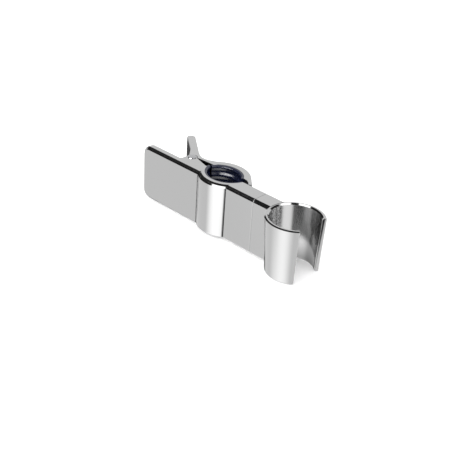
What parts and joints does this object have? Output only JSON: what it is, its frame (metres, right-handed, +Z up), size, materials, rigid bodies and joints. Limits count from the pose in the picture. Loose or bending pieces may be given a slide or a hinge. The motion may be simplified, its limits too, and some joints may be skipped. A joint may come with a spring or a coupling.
{
  "type": "shower rail slider",
  "caption": "Chromed slider for a round shower rail with a squeeze lever, dark rail liners and a swivelling open-fronted conical handset cup.",
  "frame": {"origin": "on the rail's axis, level with the slider's underside", "axes": "+Z up along the rail, +X towards the handset cup, +Y towards the wall; the plate and bulge face -Y"},
  "size_m": [0.1152, 0.0408, 0.0311],
  "materials": {
    "body_chrome": "polished chrome plate",
    "liner": "smooth dark navy plastic",
    "steel": "plain stainless steel",
    "spring_wire": "drawn spring steel",
    "slip_plastic": "natural slippery plastic"
  },
  "bodies": {
    "front": {"front_body": "body_chrome", "front_liner": "liner", "hinge_pin": "steel", "lever_spring": "spring_wire", "friction_spring": "spring_wire"},
    "lever": {"clamp_lever": "body_chrome", "jaw_liner": "liner"},
    "cup": {"handset_cup": "body_chrome", "swivel_screw": "steel", "swivel_washer": "steel", "slip_washer": "slip_plastic"}
  },
  "joints": [
    {"name": "lever_hinge", "type": "hinge", "parent": "front", "child": "lever", "pos_m": [-0.0244, -0.0025, 0.0153], "axis": [0, 0, 1], "range_deg": [0, 22], "stiffness_Nm_per_rad": 0.35, "springref_deg": -60.16, "deforming": ["lever_spring"]},
    {"name": "cup_swivel", "type": "hinge", "parent": "front", "child": "cup", "pos_m": [0.028, -0.00775, 0.0153], "axis": [1, 0, 0], "continuous": true}
  ]
}
